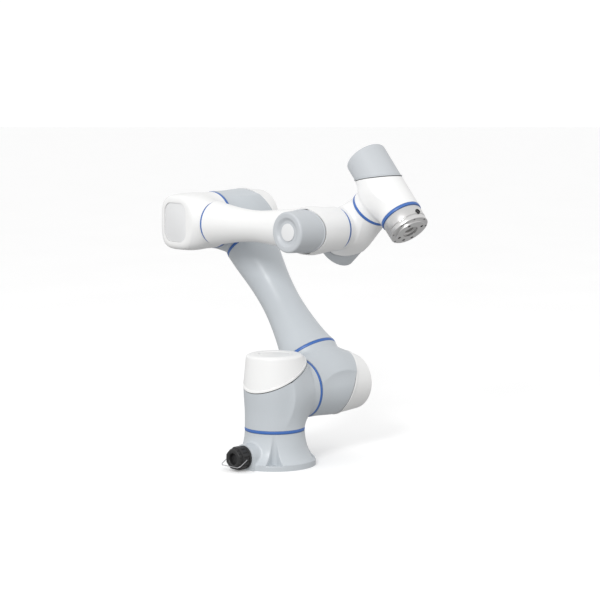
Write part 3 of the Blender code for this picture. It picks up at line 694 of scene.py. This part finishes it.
def build_elbow():
    """White elbow housing: round at the joint band, a soft rectangle at its outer end."""
    ring = box_centre("elbow_joint_ring")[1] - FOREARM_Y - RING_HALF
    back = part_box("elbow_housing")[0][1] - FOREARM_Y
    stub_radius = 0.0439
    stub_end = FOREARM_RING - RING_HALF
    half_wide = curve(
        [back, back + 0.01, back + 0.025, back + 0.05, ring], [0.0445, 0.0505, 0.0565, 0.0597, 0.06])
    half_tall = curve(
        [back, back + 0.01, back + 0.025, back + 0.05, ring], [0.0535, 0.0572, 0.059, 0.0599, 0.06])
    power = curve([back, back + 0.01, back + 0.03, back + 0.06, ring], [3.6, 3.3, 2.7, 2.1, 2.0])

    def barrel_field(p, grow=0.0):
        n = power(p[:, 2])
        across = np.abs(p[:, 0]) / (half_wide(p[:, 2]) + grow)
        along = np.abs(p[:, 1]) / (half_tall(p[:, 2]) + grow)
        size = (across ** n + along ** n + 1e-12) ** (1 / n)
        return (size - 1) * 0.05

    def field(p):
        stub = np.maximum(np.hypot(p[:, 1], p[:, 2]) - stub_radius, -p[:, 0])
        joined = smooth_min(barrel_field(p), stub, 0.026)
        ease = 0.0085 - 0.0083 * np.clip((p[:, 0] - 0.03) / 0.032, 0, 1)
        return smooth_max(joined, back - p[:, 2], ease)

    matrix = matrix_at(FRONT_ELBOW_CENTRE, Y_AXIS, FOREARM)
    mesh = implicit_mesh(
        "elbow_casting", field, (-0.066, -0.066, back - 0.004), (stub_end + 0.006, 0.066, ring + 0.006),
        0.0018)
    planes = [(Vector((0, 0, ring)), Z_AXIS), (Vector((stub_end, 0, 0)), Vector((1, 0, 0)))]
    mesh = shell(cut_and_shell(mesh, planes))
    pocket = rounded_plate("pocket", 0.068, 0.082, 0.02, -0.004, 0.0034, 0.0, back)
    mesh = boolean(loose(mesh, matrix), [loose(pocket, matrix)])
    new_piece("elbow_casting", mesh, matrix, "forearm", WHITE, ["elbow_housing"])
    plate = rounded_plate("elbow_plate", 0.0672, 0.0812, 0.0196, 0.0018, 0.0033, 0.0008, back)
    new_piece("elbow_plate", plate, matrix, "forearm", PANEL, ["elbow_end_panel"])
    band("elbow_band", "forearm", matrix, 0.06, ring + RING_HALF, "elbow_joint_ring")
    band("forearm_band", "forearm", FOREARM_TUBE, stub_radius, FOREARM_RING, "forearm_tube_ring")


def rounded_plate(name, wide, tall, corner, low, high, soft, base):
    """A plate with rounded corners about Z; soft is the size of its eased front edge."""
    def ring_at(shrink, height):
        row = []
        for quarter in range(4):
            sign_x = (1, -1, -1, 1)[quarter]
            sign_y = (1, 1, -1, -1)[quarter]
            for step in range(13):
                angle = quarter * pi / 2 + step * pi / 24
                x = sign_x * (wide / 2 - corner) + (corner - shrink) * cos(angle)
                y = sign_y * (tall / 2 - corner) + (corner - shrink) * sin(angle)
                row.append((x, y, base + height))
        return row

    rows = [ring_at(soft, low)]
    if soft:
        rows += [ring_at(soft * 0.3, low + soft * 0.3)]
    rows += [ring_at(0.0, low + soft), ring_at(0.0, high)]
    return mesh_from_rows(name, rows)


def build_forearm():
    """Forearm tube and the first wrist module, cast in one piece."""
    module = WRIST_1_MODULE
    start = FOREARM_RING + RING_HALF
    heights = [0.0804, 0.092, 0.11, 0.135, 0.16, 0.185, 0.21, 0.235, 0.262, 0.29, 0.32, 0.357]
    radii = [0.0439, 0.0412, 0.0382, 0.0345, 0.0318, 0.0302, 0.0301, 0.0318, 0.0345, 0.0375, 0.0398, 0.0408]
    width = curve(heights, radii)
    rest = Matrix(module.matrix).inverted() @ FOREARM_TUBE
    turn = np.array(rest.inverted().to_3x3())
    shift = np.array(rest.inverted().translation)

    def tube_field(p):
        q = p @ turn.T + shift
        return np.maximum((np.hypot(q[:, 0], q[:, 1]) - width(q[:, 2])) * 0.97, q[:, 2] - FOREARM_LENGTH)

    def field(p):
        return smooth_min(np.hypot(p[:, 0], p[:, 1]) - module.radius, tube_field(p), 0.018)

    end = module.ring - RING_HALF
    reach = FOREARM_LENGTH - start
    normal = module.normal()
    seam = Vector((0, 0, module.offset)) + normal * SEAL_HALF
    mouth = (Vector((reach, 0, 0)), Vector((1, 0, 0)))
    low = (-module.radius - 0.004, -0.05, -0.05)
    body = implicit_mesh("forearm_casting", field, low, (reach + 0.006, 0.05, end + 0.006), 0.0018)
    body = cut_and_shell(body, [(Vector((0, 0, end)), Z_AXIS), mouth, (seam, -normal)])
    # Past the cap's sloping joint only the tube goes on, into the notch of the cap
    tube = implicit_mesh(
        "forearm_tube", tube_field, (-0.005, -0.05, -0.05), (reach + 0.006, 0.05, 0.05), 0.0018)
    tube = cut_and_shell(tube, [mouth, (seam, normal)])
    work = bmesh.new()
    work.from_mesh(shell(body, 0.0025))
    work.from_mesh(shell(tube, 0.0025))
    mesh = bpy.data.meshes.new("forearm_casting")
    work.to_mesh(mesh)
    work.free()
    new_piece("forearm_casting", mesh, module.matrix, "forearm", WHITE, ["forearm_housing"])
    notch = peg(0.0417, 0.25, FOREARM_LENGTH, FOREARM_TUBE, AROUND)
    cap(
        "wrist_1_rear_cap", module, GREY, ["wrist_1_cap"], (0.0045, 0.0045), 0.0408,
        dished(module, 0.0292, 0.0235, 0.0046), notch)
    face = module.cap_end
    disc = fillet(
        [(0.0, face + 0.0022), (0.0175, face + 0.0026), (0.0175, face + 0.0045), (0.0, face + 0.0045)],
        [0, 0.0009, 0.0, 0], 4)
    new_piece(
        "wrist_1_panel", turned("wrist_1_panel", disc), module.matrix, "forearm", PANEL,
        ["wrist_1_cap_panel"])
    band("wrist_1_band", "forearm", module.matrix, SMALL, module.ring, "wrist_1_joint_ring")


def build_wrists():
    stub = (WRIST_2_POINT - WRIST_1_CENTRE).dot(Y_AXIS) - WRIST_1_MODULE.ring - RING_HALF
    casting("wrist_1_casting", WRIST_2_MODULE, stub, WHITE, 0.024, "wrist_1_housing", 0.0018)
    cap(
        "wrist_2_rear_cap", WRIST_2_MODULE, GREY, ["wrist_2_cap"], (0.0055, 0.005), 0.0415,
        dished(WRIST_2_MODULE, 0.0292, 0.0235, 0.0046))
    seal("wrist_2_seal", WRIST_2_MODULE)
    band("wrist_2_band", "wrist_1", WRIST_2_MODULE.matrix, SMALL, WRIST_2_MODULE.ring, "wrist_2_joint_ring")
    stub = (WRIST_3_POINT - WRIST_2_POINT).length - WRIST_2_MODULE.ring - RING_HALF
    casting("wrist_2_casting", WRIST_3_MODULE, stub, WHITE, 0.024, "wrist_2_housing", 0.0018)
    cap(
        "wrist_3_rear_cap", WRIST_3_MODULE, GREY, ["wrist_3_cap"], (0.0055, 0.005), 0.0425,
        dished(WRIST_3_MODULE, 0.0292, 0.0235, 0.0046))
    seal("wrist_3_seal", WRIST_3_MODULE)
    band("wrist_3_band", "wrist_2", WRIST_3_MODULE.matrix, SMALL, WRIST_3_MODULE.ring, "wrist_3_joint_ring")


def build_flange():
    """Machined tool flange: stepped face, centring bore, tool holes and rim screws."""
    low = WRIST_3_MODULE.ring + RING_HALF
    face = 0.105
    rim = 0.041
    outline = fillet([
        (0.0, face - 0.014), (0.0098, face - 0.014), (0.0098, face - 0.0065), (0.01575, face - 0.0065),
        (0.01575, face), (0.0315, face), (0.0315, face - 0.003), (0.0335, face - 0.003),
        (0.0335, face - 0.004), (rim - 0.0004, face - 0.004), (rim - 0.0004, face - 0.0125),
        (rim - 0.0014, face - 0.0132), (rim - 0.0014, face - 0.0142), (rim, face - 0.015),
        (rim, low), (0.0, low)], [0.0, 0, 0.0003, 0.0004, 0.0006, 0.0006, 0.0003, 0.0003, 0.0003,
                                    0.0012, 0.0003, 0.0003, 0.0003, 0.0003, 0.0006, 0.0], 3)
    flange = loose(turned("tool_flange_body", outline), WRIST_3_MODULE.matrix)
    cutters = []
    for index in range(4):
        angle = pi / 4 + index * pi / 2
        spot = Matrix.Translation((TOOL_HOLE_CIRCLE * cos(angle), TOOL_HOLE_CIRCLE * sin(angle), 0))
        cutters.append(peg(0.003, face - 0.012, face + 0.01, WRIST_3_MODULE.matrix @ spot))
    pin = Matrix.Translation((0.025, 0, 0))
    cutters.append(peg(0.003, face - 0.007, face + 0.01, WRIST_3_MODULE.matrix @ pin))
    for index in range(RIM_SCREWS):
        angle = pi / 8 + index * pi / 4
        spot = Matrix.Translation((RIM_SCREW_CIRCLE * cos(angle), RIM_SCREW_CIRCLE * sin(angle), 0))
        cutters.append(peg(0.0021, face - 0.0075, face + 0.01, WRIST_3_MODULE.matrix @ spot, 24))
    side = WRIST_3_MODULE.matrix @ Matrix.Translation((0, 0, 0.086)) @ Matrix.Rotation(-pi / 2, 4, "Y")
    cutters.append(peg(0.0054, rim - 0.0052, rim + 0.01, side))
    mesh = boolean(flange, cutters)
    new_piece(
        "tool_flange_body", mesh, WRIST_3_MODULE.matrix, "tool", METAL,
        ["tool_flange"])
    for index in range(RIM_SCREWS):
        angle = pi / 8 + index * pi / 4
        spot = WRIST_3_MODULE.matrix @ Matrix.Translation(
            (RIM_SCREW_CIRCLE * cos(angle), RIM_SCREW_CIRCLE * sin(angle), face - 0.0075))
        screw_head("flange_screw_%d" % (index + 1), spot, 0.0018, 0.0026, "tool")
    tip = rim + 0.0018
    outline = fillet([
        (0.0, rim - 0.0047), (0.005, rim - 0.0047), (0.005, tip), (0.0037, tip), (0.0037, tip - 0.003),
        (0.0, tip - 0.003)], [0, 0.0002, 0.0005, 0.0003, 0.0002, 0], 3)
    new_piece(
        "tool_socket", turned("tool_socket", outline, 48), side, "tool", BLACK,
        ["tool_cable_socket"])
    for index in range(4):
        angle = pi / 4 + index * pi / 2
        spot = side @ Matrix.Translation((0.0018 * cos(angle), 0.0018 * sin(angle), 0))
        outline = [(0.0, tip - 0.0031), (0.0004, tip - 0.0031), (0.0004, tip - 0.001), (0.0, tip - 0.0006)]
        new_piece(
            "tool_socket_pin_%d" % (index + 1), turned("pin", outline, 12), spot, "tool", STEEL)


def screw_head(name, matrix, radius, height, body):
    """A small cap screw with a hexagon socket."""
    outline = fillet(
        [(0.0, 0.0), (radius, 0.0), (radius, height), (0.0, height)], [0, 0.0001, radius * 0.25, 0], 3)
    head = loose(turned(name, outline, 32), matrix)
    key = peg(radius * 0.55, height * 0.4, height * 2, matrix, 6)
    new_piece(name, boolean(head, [key]), matrix, body, SCREW)


def build_connector():
    """Round cable connector on the base, with a ribbed coupling nut and a wire bail."""
    low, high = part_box("cable_connector")
    centre = box_centre("cable_connector")
    matrix = matrix_at((0, 0, centre[2]), -Y_AXIS, Z_AXIS)
    start = -high[1]
    end = -low[1]
    socket_low = -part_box("cable_socket")[1][1]
    socket_high = -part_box("cable_socket")[0][1]
    outline = fillet(
        [(0.0, socket_low), (0.0235, socket_low), (0.0235, socket_high), (0.0, socket_high)],
        [0, 0.0005, 0.0008, 0], 3)
    new_piece(
        "cable_socket_flange", turned("cable_socket_flange", outline, 96), matrix, "base", BLACK,
        ["cable_socket"])

    def lobed(radius, height, depth):
        """A ring of flats and grooves like a moulded grip."""
        row = []
        for step in range(192):
            angle = 2 * pi * step / 192
            flats = cos(pi / 8) / cos((angle + pi / 8) % (pi / 4) - pi / 8)
            size = radius * (0.35 + 0.65 * flats)
            groove = depth if abs((angle % (pi / 8)) - pi / 16) < 0.045 else 0.0
            row.append(((size - groove) * cos(angle), (size - groove) * sin(angle), height))
        return row

    length = end - start
    rows = [
        lobed(0.0220, start, 0), lobed(0.0238, start + 0.001, 0), lobed(0.0243, start + 0.002, 0.0),
        lobed(0.0243, start + 0.0026, 0.0014), lobed(0.0243, start + 0.0140, 0.0014),
        lobed(0.0243, start + 0.0146, 0.0), lobed(0.0238, start + 0.0158, 0),
        lobed(0.0222, start + 0.0166, 0),
        lobed(0.0213, start + 0.0168, 0), lobed(0.0213, start + 0.018, 0.0),
        lobed(0.0213, start + 0.0184, 0.001),
        lobed(0.0213, end - 0.0024, 0.001), lobed(0.021, end - 0.0018, 0), lobed(0.0202, end - 0.0004, 0),
        lobed(0.0194, end, 0), lobed(0.0135, end, 0), lobed(0.0128, end - 0.0004, 0)]
    rows += turned_rows(
        [(0.0112, end - 0.002), (0.011, end - length * 0.32), (0.006, end - length * 0.33)], 192)
    new_piece(
        "cable_coupling", mesh_from_rows("cable_coupling", rows), matrix, "base", BLACK,
        ["cable_connector"])
    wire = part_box("connector_bail")
    pivot = Vector(joint("bail_hinge")["pos_m"])
    side = wire[1][0] - 0.0008
    drop = radians(30)
    reach = Vector((0, -cos(drop), -sin(drop))) * 0.0265
    half = [Vector((side - 0.001, 0, 0)), Vector((side, 0, 0)) + reach * 0.08,
    Vector((side, 0, 0)) + reach * 0.5,
            Vector((side, 0, 0)) + reach * 0.86, Vector((side - 0.0045, 0, 0)) + reach,
            Vector((0, 0, 0)) + reach]
    path = half + [Vector((-point.x, point.y, point.z)) for point in reversed(half[:-1])]
    data = bpy.data.curves.new("bail_wire", "CURVE")
    data.dimensions = "3D"
    data.bevel_depth = 0.0008
    data.bevel_resolution = 5
    data.use_fill_caps = True
    spline = data.splines.new("POLY")
    spline.points.add(len(path) - 1)
    for target, point in zip(spline.points, path):
        target.co = (*point, 1)
    obj = loose_curve(data)
    mesh = bpy.data.meshes.new_from_object(obj.evaluated_get(bpy.context.evaluated_depsgraph_get()))
    bpy.data.objects.remove(obj, do_unlink=True)
    new_piece("bail_wire", mesh, Matrix.Translation(pivot), "bail", STEEL, ["connector_bail"])


def loose_curve(data):
    obj = bpy.data.objects.new(data.name, data)
    bpy.context.scene.collection.objects.link(obj)
    bpy.context.view_layer.update()
    return obj


def finish_inside():
    """Materials of the CAD nodes that stay: what the modules hold."""
    looks = {"_gear_unit": STEEL, "_motor_stator": WINDING, "_motor_rotor": STEEL, "_drive_board": BOARD}
    for name, obj in frame["nodes"].items():
        for ending, material in looks.items():
            if name.endswith(ending):
                for slot in obj.material_slots:
                    slot.material = material


# ---------------------------------------------------------------- stage, light, camera

def build_stage():
    """A pale floor that shows the arm's soft shadow."""
    bpy.ops.mesh.primitive_plane_add(size=60, location=(0, 0, 0))
    floor = bpy.context.object
    floor.name = "studio_floor"
    material, nodes, links, shader = shader_graph("studio_floor")
    pale = ramp(nodes, links, noise(nodes, links, 3.0), (0.9, 0.9, 0.9), (0.92, 0.92, 0.92))
    links.new(pale, shader.inputs["Base Color"])
    shader.inputs["Roughness"].default_value = 0.9
    shader.inputs["Emission Color"].default_value = (1, 1, 1, 1)
    shader.inputs["Emission Strength"].default_value = 0.17
    floor.data.materials.append(material)
    floor.visible_diffuse = False
    floor.visible_glossy = False


def area_light(name, place, target, size, power):
    data = bpy.data.lights.new(name, "AREA")
    data.shape = "RECTANGLE"
    data.size, data.size_y = size
    data.energy = power
    obj = bpy.data.objects.new(name, data)
    bpy.context.scene.collection.objects.link(obj)
    obj.location = place
    obj.rotation_euler = (Vector(target) - Vector(place)).to_track_quat("-Z", "Y").to_euler()


def build_light():
    """Soft dome that is dimmer from below, and one key from the front."""
    world = bpy.data.worlds.new("studio")
    bpy.context.scene.world = world
    world.use_nodes = True
    nodes = world.node_tree.nodes
    links = world.node_tree.links
    place = nodes.new("ShaderNodeTexCoord")
    parts = nodes.new("ShaderNodeSeparateXYZ")
    height = nodes.new("ShaderNodeMapRange")
    height.inputs["From Min"].default_value = -1.0
    links.new(place.outputs["Generated"], parts.inputs["Vector"])
    links.new(parts.outputs["Z"], height.inputs["Value"])
    dome = nodes.new("ShaderNodeValToRGB")
    stops = [(0.0, 0.45), (0.45, 0.5), (0.48, 1.05), (0.535, 1.05), (0.57, 0.82), (1.0, 0.9)]
    while len(dome.color_ramp.elements) < len(stops):
        dome.color_ramp.elements.new(0.5)
    for element, (position, level) in zip(dome.color_ramp.elements, stops):
        element.position = position
        element.color = (level, level, level, 1)
    links.new(height.outputs["Result"], dome.inputs["Fac"])
    links.new(dome.outputs["Color"], nodes["Background"].inputs["Color"])
    side = Vector((cos(CAMERA_AZIMUTH), sin(CAMERA_AZIMUTH), 0))
    front = Vector((sin(CAMERA_AZIMUTH), -cos(CAMERA_AZIMUTH), 0))
    middle = Vector((0, 0, 0.35))
    area_light("key", middle + front * 2.6 - side * 0.9 + Z_AXIS * 1.5, middle, (0.8, 0.8), 42)


def build_camera():
    side = Vector((cos(CAMERA_AZIMUTH), sin(CAMERA_AZIMUTH), 0))
    back = Vector((
        sin(CAMERA_AZIMUTH) * cos(CAMERA_ELEVATION), -cos(CAMERA_AZIMUTH) * cos(CAMERA_ELEVATION),
        sin(CAMERA_ELEVATION)))
    up = back.cross(side)
    data = bpy.data.cameras.new("camera")
    data.lens = CAMERA_LENS
    data.sensor_width = 36
    data.clip_end = 30
    camera = bpy.data.objects.new("camera", data)
    bpy.context.scene.collection.objects.link(camera)
    place = side * CAMERA_SIDE + Z_AXIS * CAMERA_HEIGHT + back * CAMERA_DISTANCE
    camera.matrix_world = Matrix.Translation(place) @ Matrix((side, up, back)).transposed().to_4x4()
    bpy.context.scene.camera = camera


build_base()
build_connector()
build_shoulder()
build_upper_arm()
build_elbow()
build_forearm()
build_wrists()
build_flange()
finish_inside()
build_stage()
build_light()
build_camera()
bpy.context.scene.view_settings.view_transform = "Standard"
